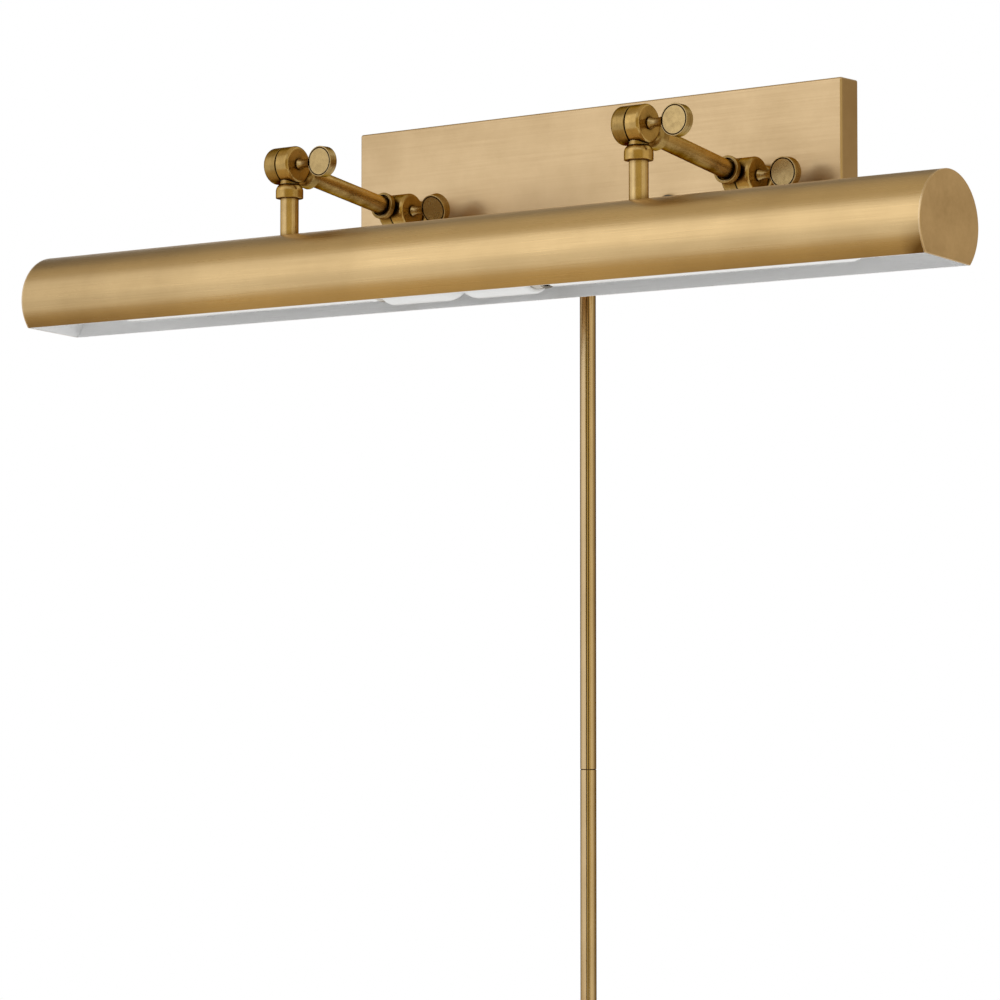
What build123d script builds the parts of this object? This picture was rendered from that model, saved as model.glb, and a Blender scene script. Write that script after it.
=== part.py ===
from build123d import *
import os
from math import cos, radians, sin, sqrt

# Wall-mounted picture light: a long shade, open below, on a pair of jointed arms.
# Millimetres. The origin is the middle of the backplate, on the wall: +X to the right of
# someone facing the wall, -Y into the room, +Z up.

os.makedirs("parts", exist_ok=True)

# Fits shared by all pieces
fit_gap = 0.05  # radial room of a shaft in its hole and of a rod in its socket
seat_gap = 0.1  # room between a piece and the seat that it is fixed to
moving_gap = 0.3  # room between pieces that move past each other
overrun = 2.0  # how far a cut runs past the face that it opens

# Backplate, a shallow pan that is open to the wall
plate_width = 420.0
plate_height = 127.0
plate_depth = 19.0
plate_sheet = 1.5
plate_edge = 1.6

# Mounting bracket, a bar with two legs, behind the backplate
bracket_sheet = 2.0
bar_length = 276.0
bar_height = 24.0
leg_spacing = 190.0
leg_width = 24.0
tab_depth = 12.0
wall_hole_spacing = 254.0
wall_hole_diameter = 5.5
plate_screw_diameter = 4.0
plate_screw_head = 7.5
plate_screw_head_height = 2.4
plate_screw_head_edge = 0.6
plate_screw_length = 8.0
ground_screw_diameter = 4.0
ground_screw_head = 8.5
ground_screw_head_height = 3.0

# Rods, arms and knuckles
arm_spacing = 300.0  # between the two stems
arm_length = 123.0  # from pivot to pivot
arm_rise = 9.55  # degrees above the horizontal, towards the room
rod_diameter = 12.7
rod_bore = 6.5
rod_socket = 5.5  # how deep a rod goes into its collar
knuckle_diameter = 25.4
port_half_width = 10.7  # the half with the wall or stem collar
arm_half_width = 11.7  # the half with the arm collar
arm_offset = 4.5  # from the stem's axis to the arm's axis
seam_offset = 2.4  # from the stem's axis to the plane where the halves meet
halves_gap = 0.8
washer_diameter = 21.0
seam_edge = 0.6
port_half_edge = 2.4
arm_half_edge = 3.6
neck_diameter = 13.4
collar_wall = 3.15
collar_lip = 0.5
short_neck = 0.6  # between a knuckle and the collar on the wall, on a stem and on an arm's lower end
long_neck = 4.6  # the same on an arm's upper end
wall_collar = 8.7
short_collar = 6.2  # on an arm's lower end
bell_collar = 9.9  # on a stem and on an arm's upper end
plain_shoulder = 2.8
bell_shoulder = 5.0
mouth_recess = 1.45  # ring of room between an arm and the mouth of its lower collar
mouth_recess_depth = 2.5

# Thumb screws
screw_diameter = 5.0
screw_grip = 6.4  # thread inside the arm half
screw_foot_diameter = 7.7
screw_foot_length = 1.0
screw_waist_diameter = 6.0
screw_waist_share = 0.4  # of the neck, from its foot to its waist
screw_neck_length = 10.8
screw_neck_flare = 8.6
screw_head_diameter = 21.0
screw_head_thickness = 6.7
screw_head_edge = 0.4
screw_neck_root = 1.0  # how far the neck runs into the head
screw_ring_diameter = 19.6
screw_ring_width = 0.8
screw_ring_depth = 0.6
head_leans = {"upper_left": 2.0, "upper_right": 0.0, "lower_left": 18.0, "lower_right": 4.0}  # degrees

# Threaded ends and hexagon nuts
thread_diameter = 9.5
thread_end_length = 9.0
thread_spare = 2.0  # thread that shows past a nut on the wall side
nut_across_flats = 14.0
nut_height = 5.0

# Shade
shade_length = 762.0
shade_diameter = 66.0
shade_wall = 0.9
shade_cut = 21.6  # from the shade's axis to the plane of its open edges
shade_turn = 3.9  # degrees, of the open side to the front
stem_drop = 81.2  # from the upper pivot down to the shade's axis
cap_thickness = 1.2
cap_edge = 0.25

# Lamps inside the shade
lamp_drop = 2.2  # from the shade's axis down to the lamps' axis
lamps_x = 4.5  # the web between the two lamp holders
hanger_length = 62.0
hanger_width = 13.0
hanger_sheet = 1.6
web_thickness = 2.4
web_width = 11.0
web_tail = 6.0
rivet_spacing = 44.0
rivet_diameter = 3.2
rivet_head = 6.5
rivet_head_height = 1.4
holder_diameter = 39.0
holder_length = 61.0
holder_back_edge = 13.0
holder_mouth_edge = 2.8
holder_floor = 38.0
ring_wall = 1.5
ring_length = 8.0
base_diameter = 26.4
base_length = 29.0
base_edge = 1.5
glass_diameter = 31.8
glass_end_room = 58.1  # between the right lamp's tip and its end cap
glass_wall = 1.0
glass_flare = 9.0
glass_tip = 12.0

# Switch
switch_x = 69.0
switch_z = -14.5
bezel_diameter = 22.0
bezel_height = 2.2
bezel_edge = 0.8
switch_body_diameter = 19.8
switch_back_room = 6.5  # behind the body, for the terminals
rocker_diameter = 16.0
rocker_gap = 0.8
rocker_side_height = 3.2
rocker_middle_height = 2.2
rocker_back_height = 1.5
rocker_pivot_depth = 1.8
rocker_lean = 8.0  # degrees, to one side at rest
trunnion_diameter = 2.0
trunnion_grip = 0.6
terminal_width = 4.8
terminal_sheet = 0.8
terminal_length = 5.0
terminal_spacing = 9.0

# Terminal block inside the backplate
block_x = -69.0
block_length = 32.0
block_height = 16.0
block_depth = 10.0
block_edge = 1.0
block_ways = 3
block_hole_diameter = 4.2
block_hole_depth = 6.0

# Cord cover and the cord's way out of the backplate
cover_x = -9.1
cover_standoff = 8.0  # from the wall to the tube's axis
cover_diameter = 11.2
cover_wall = 1.0
cover_length = 333.0
cover_end_edge = 0.4
cover_sleeve_length = 24.0  # inside both lengths, where they meet
seam_turns = (25.6, 40.0)  # degrees from the front to the right, of the two lines of the seam
seam_width = 0.7
seam_depth = 0.6
bushing_wall = 1.2
bushing_flange = 1.4
bushing_flange_height = 1.5
bushing_spigot = 8.0  # inside the top of the cover

# Places worked out from the sizes above
plate_front = -plate_depth
plate_bottom = -plate_height / 2
knuckle_radius = knuckle_diameter / 2
rod_radius = rod_diameter / 2
thread_radius = thread_diameter / 2
screw_radius = screw_diameter / 2
collar_radius = rod_radius + collar_wall
standoff = knuckle_radius + short_neck + wall_collar
lower_floor = knuckle_radius + short_neck + short_collar - rod_socket
upper_floor = knuckle_radius + long_neck + bell_collar - rod_socket
stem_floor = knuckle_radius + short_neck + bell_collar - rod_socket
arm_y = cos(radians(arm_rise))
arm_z = sin(radians(arm_rise))
lower_y = plate_front - standoff
lower_z = 0
upper_y = lower_y - arm_length * arm_y
upper_z = lower_z + arm_length * arm_z
lower_pivot = (lower_y, lower_z)
upper_pivot = (upper_y, upper_z)
to_room = (0, -arm_y, arm_z)
to_wall = (0, arm_y, -arm_z)
shade_y = upper_y
shade_z = upper_z - stem_drop
shade_radius = shade_diameter / 2
shade_inside = shade_radius - shade_wall
lamp_z = shade_z - lamp_drop
nut_corner = nut_across_flats / sqrt(3)
stem_nut_top = sqrt(shade_inside**2 - nut_corner**2) - seat_gap
hanger_top = sqrt(shade_inside**2 - (hanger_width / 2) ** 2) - seat_gap
ring_diameter = holder_diameter - 2 * holder_mouth_edge
cover_radius = cover_diameter / 2
cover_inside = cover_radius - cover_wall
cover_place = (cover_x, -cover_standoff)
bushing_radius = cover_inside - fit_gap
SIDES = (("left", -1), ("right", 1))


def stem_x(sign):
    """X of a stem, of its hole in the shade and of its wall collar."""
    return sign * arm_spacing / 2


def arm_x(sign):
    """X of an arm's axis."""
    return stem_x(sign) - arm_offset


def joint_x(sign):
    """X of the plane where the two halves of a knuckle meet."""
    return stem_x(sign) - seam_offset


def across(x, y, z, direction=1):
    """A plane square to X, for discs and bores along a pivot; its own Y is up."""
    return Plane(origin=(x, y, z), x_dir=(0, direction, 0), z_dir=(direction, 0, 0))


def facing_wall(x, y, z):
    """A plane that looks back at the wall, for pieces that stand on the backplate."""
    return Plane(origin=(x, y, z), x_dir=(1, 0, 0), z_dir=(0, 1, 0))


def by_reach(edges):
    """Round edges in order of their distance from the middle of the lamp."""
    return edges.filter_by(GeomType.CIRCLE).sort_by(lambda rim: abs(rim.center().X))


def save(part, name):
    """Label a finished piece and write it under its own name."""
    part.label = name
    export_step(part, f"parts/{name}.step")


# Backplate

with BuildPart() as backplate:
    with BuildSketch(Plane.XZ):
        Rectangle(plate_width, plate_height)
    extrude(amount=plate_depth)
    fillet(backplate.edges().sort_by(Axis.Y)[:-4], radius=plate_edge)
    with BuildSketch(Plane.XZ):
        Rectangle(plate_width - 2 * plate_sheet, plate_height - 2 * plate_sheet)
    extrude(amount=plate_depth - plate_sheet, mode=Mode.SUBTRACT)
    with BuildSketch(Plane.XZ):
        with Locations((stem_x(-1), lower_z), (stem_x(1), lower_z)):
            Circle(thread_radius + seat_gap)
        with Locations((switch_x, switch_z)):
            Circle(switch_body_diameter / 2 + seat_gap)
    extrude(amount=plate_depth + overrun, mode=Mode.SUBTRACT)
    with BuildSketch(Plane.XY.offset(plate_bottom - overrun)):
        with Locations(cover_place):
            Circle(bushing_radius + seat_gap)
        with Locations((-leg_spacing / 2, -tab_depth / 2), (leg_spacing / 2, -tab_depth / 2)):
            Circle(plate_screw_diameter / 2 + seat_gap)
    extrude(amount=plate_sheet + 2 * overrun, mode=Mode.SUBTRACT)
save(backplate.part, "backplate")


# Mounting bracket and its screws

bracket_height = plate_height - 2 * plate_sheet - 2 * seat_gap
leg_places = [(-leg_spacing / 2, 0), (leg_spacing / 2, 0)]
screw_places = [(-leg_spacing / 2, -tab_depth / 2), (leg_spacing / 2, -tab_depth / 2)]
with BuildPart() as mounting_bracket:
    with BuildSketch(Plane.XZ):
        Rectangle(bar_length, bar_height)
        with Locations(*leg_places):
            Rectangle(leg_width, bracket_height)
        with Locations((-wall_hole_spacing / 2, 0), (wall_hole_spacing / 2, 0)):
            Circle(wall_hole_diameter / 2, mode=Mode.SUBTRACT)
        Circle(ground_screw_diameter / 2 + fit_gap, mode=Mode.SUBTRACT)
    extrude(amount=bracket_sheet)
    for tab_z in (-bracket_height / 2, bracket_height / 2 - bracket_sheet):
        with BuildSketch(Plane.XY.offset(tab_z)):
            with Locations(*leg_places):
                Rectangle(leg_width, tab_depth, align=(Align.CENTER, Align.MAX))
        extrude(amount=bracket_sheet)
    with BuildSketch(Plane.XY.offset(-bracket_height / 2 - overrun)):
        with Locations(*screw_places):
            Circle(plate_screw_diameter / 2 + fit_gap)
    extrude(amount=bracket_sheet + 2 * overrun, mode=Mode.SUBTRACT)
save(mounting_bracket.part, "mounting_bracket")

with BuildPart() as plate_screws:
    with BuildSketch(Plane.XY.offset(plate_bottom)):
        with Locations(*screw_places):
            Circle(plate_screw_head / 2)
    extrude(amount=-plate_screw_head_height)
    chamfer(plate_screws.faces().group_by(Axis.Z)[0].edges(), length=plate_screw_head_edge)
    with BuildSketch(Plane.XY.offset(plate_bottom)):
        with Locations(*screw_places):
            Circle(plate_screw_diameter / 2)
    extrude(amount=plate_screw_length)
save(plate_screws.part, "plate_screws")

with BuildPart() as ground_screw:
    with BuildSketch(Plane.XZ):
        Circle(ground_screw_diameter / 2)
    extrude(amount=bracket_sheet)
    with BuildSketch(Plane.XZ.offset(bracket_sheet)):
        RegularPolygon(ground_screw_head / 2, side_count=6)
    extrude(amount=ground_screw_head_height)
save(ground_screw.part, "ground_screw")


# Knuckles: each is two halves on one pivot, which a thumb screw clamps together

def knuckle_half(sign, pivot, outward, direction, neck, shoulder, collar, socket_radius, recess=0):
    """One half of a knuckle: a disc on the pivot and a bell-shaped collar on a short neck.

    The right half (outward 1) has its collar on the wall or on a stem, and the thumb screw
    passes through it. The left half (outward -1) is on an arm, and the screw is threaded into it.
    """
    width = port_half_width if outward > 0 else arm_half_width
    edge = port_half_edge if outward > 0 else arm_half_edge
    start_x = joint_x(sign) + outward * halves_gap / 2
    origin = (stem_x(sign) if outward > 0 else arm_x(sign), *pivot)
    collar_start = knuckle_radius + neck
    collar_end = collar_start + collar
    neck_top = (neck_diameter / 2, collar_start)
    bell_end = (collar_radius, collar_start + shoulder)
    side = Plane(origin=origin, x_dir=(1, 0, 0), z_dir=Vector(1, 0, 0).cross(Vector(*direction)))
    mouth = Plane(origin=origin, x_dir=(1, 0, 0), z_dir=direction).offset(collar_end)
    with BuildPart() as half:
        with BuildSketch(across(start_x, *pivot, outward)):
            Circle(knuckle_radius)
        extrude(amount=width)
        fillet(half.faces().sort_by(Axis.X)[-1 if outward > 0 else 0].edges(), radius=edge)
        fillet(half.faces().sort_by(Axis.X)[0 if outward > 0 else -1].edges(), radius=seam_edge)
        with BuildSketch(side) as profile:
            with BuildLine():
                Polyline(neck_top, (neck_top[0], 0), (0, 0), (0, collar_end), (collar_radius, collar_end), bell_end)
                TangentArc(bell_end, neck_top, tangent=(0, -1))
            make_face()
            fillet(profile.vertices().group_by(Axis.X)[-1].sort_by(Axis.Y)[-1], radius=collar_lip)
        revolve(axis=Axis(origin, direction))
        with BuildSketch(across(start_x, *pivot, -outward)):
            Circle(knuckle_radius + moving_gap)
        extrude(amount=neck_diameter, mode=Mode.SUBTRACT)
        with BuildSketch(mouth):
            Circle(socket_radius + fit_gap)
        extrude(amount=-rod_socket, mode=Mode.SUBTRACT)
        if recess:
            with BuildSketch(mouth):
                Circle(rod_radius + recess)
            extrude(amount=-mouth_recess_depth, mode=Mode.SUBTRACT)
        with BuildSketch(across(start_x, *pivot, outward)):
            Circle(screw_radius + fit_gap)
        extrude(amount=width + overrun if outward > 0 else screw_grip + moving_gap, mode=Mode.SUBTRACT)
    return half


for side, sign in SIDES:
    wall_knuckle = knuckle_half(
        sign, lower_pivot, 1, (0, 1, 0), short_neck, plain_shoulder, wall_collar, thread_radius
    )
    save(wall_knuckle.part, f"wall_knuckle_{side}")
    stem_knuckle = knuckle_half(
        sign, upper_pivot, 1, (0, 0, -1), short_neck, bell_shoulder, bell_collar, rod_radius
    )
    save(stem_knuckle.part, f"stem_knuckle_{side}")
    arm_lower = knuckle_half(
        sign, lower_pivot, -1, to_room, short_neck, plain_shoulder, short_collar, rod_radius, mouth_recess
    )
    save(arm_lower.part, f"arm_lower_knuckle_{side}")
    arm_upper = knuckle_half(
        sign, upper_pivot, -1, to_wall, long_neck, bell_shoulder, bell_collar, rod_radius
    )
    save(arm_upper.part, f"arm_upper_knuckle_{side}")


# Friction washers between the halves

for side, sign in SIDES:
    for level, pivot in (("lower", lower_pivot), ("upper", upper_pivot)):
        with BuildPart() as washer:
            with BuildSketch(across(joint_x(sign) - halves_gap / 2, *pivot)):
                Circle(washer_diameter / 2)
                Circle(screw_radius + moving_gap, mode=Mode.SUBTRACT)
            extrude(amount=halves_gap - fit_gap)
        save(washer.part, f"{level}_washer_{side}")


# Thumb screws: a threaded shank, a waisted neck and a coin-shaped head with a ring on each face

def thumb_screw(sign, pivot, lean):
    """A thumb screw whose coin-shaped head stopped at a lean, in degrees."""
    face_x = joint_x(sign) + halves_gap / 2 + port_half_width + seat_gap
    tip_x = joint_x(sign) - halves_gap / 2 - screw_grip
    head_radius = screw_head_diameter / 2
    coin = Plane(
        origin=(face_x + screw_neck_length + head_radius, *pivot),
        x_dir=(1, 0, 0),
        z_dir=(0, -cos(radians(lean)), -sin(radians(lean))),
    )
    foot_top = (screw_foot_length, screw_foot_diameter / 2)
    waist = (screw_neck_length * screw_waist_share, screw_waist_diameter / 2)
    flare_end = (screw_neck_length + screw_neck_root, screw_neck_flare / 2)
    with BuildPart() as screw:
        with BuildSketch(coin):
            Circle(head_radius)
        extrude(amount=screw_head_thickness / 2, both=True)
        fillet(screw.edges().filter_by(GeomType.CIRCLE), radius=screw_head_edge)
        with BuildSketch(across(tip_x, *pivot)):
            Circle(screw_radius)
        extrude(amount=face_x - tip_x)
        with BuildSketch(Plane(origin=(face_x, *pivot), x_dir=(1, 0, 0), z_dir=(0, -1, 0))):
            with BuildLine():
                ThreePointArc(foot_top, waist, flare_end)
                Polyline(flare_end, (flare_end[0], 0), (0, 0), (0, foot_top[1]), foot_top)
            make_face()
        revolve(axis=Axis((face_x, *pivot), (1, 0, 0)))
        for face in (-1, 1):
            with BuildSketch(coin.offset(face * screw_head_thickness / 2)):
                Circle(screw_ring_diameter / 2)
                Circle(screw_ring_diameter / 2 - screw_ring_width, mode=Mode.SUBTRACT)
            extrude(amount=-face * screw_ring_depth, mode=Mode.SUBTRACT)
    return screw


for side, sign in SIDES:
    for level, pivot in (("lower", lower_pivot), ("upper", upper_pivot)):
        screw = thumb_screw(sign, pivot, head_leans[f"{level}_{side}"])
        save(screw.part, f"thumb_screw_{level}_{side}")


# Arms, stems, wall nipples and their nuts

def hexagon_nut(plane):
    """A nut that starts on the plane, with the thread's hole through it."""
    with BuildPart() as nut:
        with BuildSketch(plane):
            RegularPolygon(nut_corner, side_count=6)
            Circle(thread_radius + fit_gap, mode=Mode.SUBTRACT)
        extrude(amount=nut_height)
    return nut


nipple_start = plate_front - rod_socket
nipple_end = plate_front + plate_sheet + nut_height + thread_spare
stem_top = upper_z - stem_floor
stem_end = shade_z + stem_nut_top - thread_end_length
for side, sign in SIDES:
    arm_axis = Plane(origin=(arm_x(sign), *lower_pivot), x_dir=(1, 0, 0), z_dir=to_room)
    with BuildPart() as arm_tube:
        with BuildSketch(arm_axis.offset(lower_floor)):
            Circle(rod_radius)
            Circle(rod_bore / 2, mode=Mode.SUBTRACT)
        extrude(amount=arm_length - lower_floor - upper_floor)
    save(arm_tube.part, f"arm_tube_{side}")

    with BuildPart() as stem:
        with BuildSketch(Plane.XY.offset(shade_z)):
            with Locations((stem_x(sign), shade_y)):
                Circle(rod_radius)
        extrude(amount=stem_top - shade_z)
        with BuildSketch(across(stem_x(sign) - rod_diameter, shade_y, shade_z)):
            Circle(shade_radius + fit_gap)
        extrude(amount=2 * rod_diameter, mode=Mode.SUBTRACT)
        with BuildSketch(Plane.XY.offset(stem_end)):
            with Locations((stem_x(sign), shade_y)):
                Circle(thread_radius)
        extrude(amount=stem_top - stem_end)
        with BuildSketch(Plane.XY.offset(stem_end)):
            with Locations((stem_x(sign), shade_y)):
                Circle(rod_bore / 2)
        extrude(amount=stem_top - stem_end, mode=Mode.SUBTRACT)
    save(stem.part, f"stem_{side}")

    under_shade = Plane(
        origin=(stem_x(sign), shade_y, shade_z + stem_nut_top), x_dir=(1, 0, 0), z_dir=(0, 0, -1)
    )
    stem_nut = hexagon_nut(under_shade)
    save(stem_nut.part, f"stem_nut_{side}")

    with BuildPart() as wall_nipple:
        with BuildSketch(facing_wall(stem_x(sign), nipple_start, lower_z)):
            Circle(thread_radius)
            Circle(rod_bore / 2, mode=Mode.SUBTRACT)
        extrude(amount=nipple_end - nipple_start)
    save(wall_nipple.part, f"wall_nipple_{side}")

    nipple_nut = hexagon_nut(facing_wall(stem_x(sign), plate_front + plate_sheet, lower_z))
    save(nipple_nut.part, f"nipple_nut_{side}")


# Shade and end caps

def shade_section(direction=1):
    """The shade's outline: a circle with its lower part cut away, on a plane that faces along X or back."""
    Circle(shade_radius)
    with PolarLocations(shade_cut, 1, start_angle=-90 - direction * shade_turn):
        Rectangle(shade_diameter, shade_diameter, align=(Align.MIN, Align.CENTER), mode=Mode.SUBTRACT)


rivet_places = [(-rivet_spacing / 2, shade_y), (rivet_spacing / 2, shade_y)]
shell_end = shade_length / 2 - cap_thickness
with BuildPart() as shade_shell:
    with BuildSketch(across(-shell_end, shade_y, shade_z)):
        shade_section()
        Circle(shade_inside, mode=Mode.SUBTRACT)
    extrude(amount=2 * shell_end)
    with BuildSketch(Plane.XY.offset(shade_z)):
        with Locations((stem_x(-1), shade_y), (stem_x(1), shade_y)):
            Circle(thread_radius + seat_gap)
        with Locations(*rivet_places):
            Circle(rivet_diameter / 2 + fit_gap)
    extrude(amount=shade_diameter, mode=Mode.SUBTRACT)
save(shade_shell.part, "shade_shell")

for side, sign in SIDES:
    with BuildPart() as end_cap:
        with BuildSketch(across(sign * shell_end, shade_y, shade_z, sign)):
            shade_section(sign)
        extrude(amount=cap_thickness)
        chamfer(end_cap.faces().sort_by(Axis.X)[-1 if sign > 0 else 0].edges(), length=cap_edge)
    save(end_cap.part, f"end_cap_{side}")


# Lamp hanger, riveted under the top of the shade, with a lamp holder on each side of its web

strap_under = shade_z + hanger_top - hanger_sheet
with BuildPart() as lamp_hanger:
    with BuildSketch(Plane.XY.offset(strap_under)):
        with Locations((0, shade_y)):
            Rectangle(hanger_length, hanger_width)
        with Locations(*rivet_places):
            Circle(rivet_diameter / 2 + fit_gap, mode=Mode.SUBTRACT)
    extrude(amount=hanger_sheet)
    with BuildSketch(Plane.XY.offset(lamp_z - web_tail)):
        with Locations((lamps_x, shade_y)):
            Rectangle(web_thickness, web_width)
    extrude(amount=strap_under - lamp_z + web_tail)
save(lamp_hanger.part, "lamp_hanger")

rivet_top = shade_z + sqrt(shade_radius**2 - (rivet_diameter / 2) ** 2)
with BuildPart() as hanger_rivets:
    with BuildSketch(Plane.XY.offset(strap_under)):
        with Locations(*rivet_places):
            Circle(rivet_head / 2)
    extrude(amount=-rivet_head_height)
    fillet(hanger_rivets.faces().group_by(Axis.Z)[0].edges(), radius=rivet_head_height / 2)
    with BuildSketch(Plane.XY.offset(strap_under)):
        with Locations(*rivet_places):
            Circle(rivet_diameter / 2)
    extrude(amount=rivet_top - strap_under)
save(hanger_rivets.part, "hanger_rivets")


# Lamp holders and lamps

holder_back = web_thickness / 2
holder_mouth = holder_back + holder_length
base_start = holder_back + holder_floor
base_end = base_start + base_length
glass_end = shell_end - lamps_x - glass_end_room
for side, sign in SIDES:
    with BuildPart() as lamp_holder:
        with BuildSketch(across(lamps_x + sign * holder_back, shade_y, lamp_z, sign)):
            Circle(holder_diameter / 2)
        extrude(amount=holder_length)
        fillet(by_reach(lamp_holder.edges())[0], radius=holder_back_edge)
        fillet(by_reach(lamp_holder.edges())[-1], radius=holder_mouth_edge)
        with BuildSketch(across(lamps_x + sign * holder_mouth, shade_y, lamp_z, -sign)):
            Circle(base_diameter / 2 + fit_gap)
        extrude(amount=holder_mouth - base_start, mode=Mode.SUBTRACT)
    save(lamp_holder.part, f"lamp_holder_{side}")

    with BuildPart() as socket_ring:
        with BuildSketch(across(lamps_x + sign * holder_mouth, shade_y, lamp_z, sign)):
            Circle(ring_diameter / 2)
            Circle(ring_diameter / 2 - ring_wall, mode=Mode.SUBTRACT)
        extrude(amount=ring_length)
    save(socket_ring.part, f"socket_ring_{side}")

    with BuildPart() as bulb_base:
        with BuildSketch(across(lamps_x + sign * base_start, shade_y, lamp_z, sign)):
            Circle(base_diameter / 2)
        extrude(amount=base_length)
        chamfer(by_reach(bulb_base.edges())[0], length=base_edge)
    save(bulb_base.part, f"bulb_base_{side}")

    with BuildPart() as bulb_glass:
        with BuildSketch(Plane(origin=(lamps_x, shade_y, lamp_z), x_dir=(sign, 0, 0), z_dir=(0, -sign, 0))):
            with BuildLine():
                Polyline(
                    (base_end, 0),
                    (base_end, base_diameter / 2),
                    (base_end + glass_flare, glass_diameter / 2),
                    (glass_end, glass_diameter / 2),
                    (glass_end, 0),
                    close=True,
                )
            make_face()
        revolve(axis=Axis((0, shade_y, lamp_z), (1, 0, 0)))
        fillet(by_reach(bulb_glass.edges())[-1], radius=glass_tip)
        neck_face = bulb_glass.faces().sort_by(lambda face: abs(face.center().X))[0]
        offset(amount=-glass_wall, openings=neck_face)
    save(bulb_glass.part, f"bulb_glass_{side}")


# Switch: a round housing through the backplate, with a rocker on a pair of trunnions

bezel_front = plate_front - bezel_height
rocker_y = bezel_front + rocker_pivot_depth
rocker_radius = rocker_diameter / 2
opening_radius = rocker_radius + rocker_gap
pocket_depth = rocker_pivot_depth + rocker_back_height + rocker_radius * sin(radians(rocker_lean)) + moving_gap
switch_back = -bracket_sheet - switch_back_room
trunnion_reach = opening_radius + trunnion_grip
trunnion_axis = across(switch_x, rocker_y, switch_z)
with BuildPart() as switch_housing:
    with BuildSketch(Plane.XZ.offset(-plate_front)):
        with Locations((switch_x, switch_z)):
            Circle(bezel_diameter / 2)
    extrude(amount=bezel_height)
    fillet(switch_housing.faces().sort_by(Axis.Y)[0].edges(), radius=bezel_edge)
    with BuildSketch(facing_wall(switch_x, plate_front, switch_z)):
        Circle(switch_body_diameter / 2)
    extrude(amount=switch_back - plate_front)
    with BuildSketch(facing_wall(switch_x, bezel_front, switch_z)):
        Circle(opening_radius)
    extrude(amount=pocket_depth, mode=Mode.SUBTRACT)
    with BuildSketch(trunnion_axis):
        Circle(trunnion_diameter / 2 + fit_gap)
    extrude(amount=trunnion_reach + seat_gap, both=True, mode=Mode.SUBTRACT)
save(switch_housing.part, "switch_housing")

rocker_out = (0, -cos(radians(rocker_lean)), sin(radians(rocker_lean)))
rocker_origin = (switch_x, rocker_y, switch_z)
with BuildPart() as switch_rocker:
    with BuildSketch(Plane(origin=rocker_origin, x_dir=rocker_out, z_dir=(-1, 0, 0))):
        with BuildLine():
            Polyline(
                (-rocker_back_height, -rocker_radius),
                (rocker_side_height, -rocker_radius),
                (rocker_middle_height, 0),
                (rocker_side_height, rocker_radius),
                (-rocker_back_height, rocker_radius),
                close=True,
            )
        make_face()
    extrude(amount=rocker_radius, both=True)
    with BuildSketch(Plane(origin=rocker_origin, x_dir=(1, 0, 0), z_dir=rocker_out)):
        Circle(rocker_radius)
    extrude(amount=rocker_diameter, both=True, mode=Mode.INTERSECT)
    with BuildSketch(trunnion_axis):
        Circle(trunnion_diameter / 2)
    extrude(amount=trunnion_reach, both=True)
save(switch_rocker.part, "switch_rocker")

with BuildPart() as switch_terminals:
    with BuildSketch(facing_wall(switch_x, switch_back, switch_z)):
        with Locations((-terminal_spacing / 2, 0), (terminal_spacing / 2, 0)):
            Rectangle(terminal_sheet, terminal_width)
    extrude(amount=terminal_length)
save(switch_terminals.part, "switch_terminals")


# Terminal block on the inside of the backplate

block_seat = plate_front + plate_sheet
with BuildPart() as terminal_block:
    with BuildSketch(facing_wall(block_x, block_seat, 0)):
        Rectangle(block_length, block_height)
    extrude(amount=block_depth)
    fillet(terminal_block.faces().sort_by(Axis.Y)[-1].edges(), radius=block_edge)
    with BuildSketch(facing_wall(block_x, block_seat + block_depth, 0)):
        with GridLocations(block_length / block_ways, block_height / 2, block_ways, 2):
            Circle(block_hole_diameter / 2)
    extrude(amount=-block_hole_depth, mode=Mode.SUBTRACT)
save(terminal_block.part, "terminal_block")


# Cord bushing and the two lengths of cord cover, each a tube of four strips, with a sleeve where they meet

with BuildPart() as cord_bushing:
    with BuildSketch(Plane.XY.offset(plate_bottom - bushing_spigot)):
        with Locations(cover_place):
            Circle(bushing_radius)
    extrude(amount=bushing_spigot + plate_sheet)
    with BuildSketch(Plane.XY.offset(plate_bottom + plate_sheet)):
        with Locations(cover_place):
            Circle(bushing_radius + bushing_flange)
    extrude(amount=bushing_flange_height)
    with BuildSketch(Plane.XY.offset(plate_bottom - bushing_spigot)):
        with Locations(cover_place):
            Circle(bushing_radius - bushing_wall)
    extrude(amount=bushing_spigot + plate_sheet + bushing_flange_height, mode=Mode.SUBTRACT)
save(cord_bushing.part, "cord_bushing")

seam_angle = radians(seam_turns[0])
seam_plane = Plane(origin=(*cover_place, 0), z_dir=(cos(seam_angle), sin(seam_angle), 0))
square_plane = Plane(origin=(*cover_place, 0), z_dir=(sin(seam_angle), -cos(seam_angle), 0))
strips = {
    "": (Keep.BOTTOM, Keep.TOP),
    "_right": (Keep.TOP, Keep.TOP),
    "_back": (Keep.TOP, Keep.BOTTOM),
    "_left": (Keep.BOTTOM, Keep.BOTTOM),
}


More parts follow.
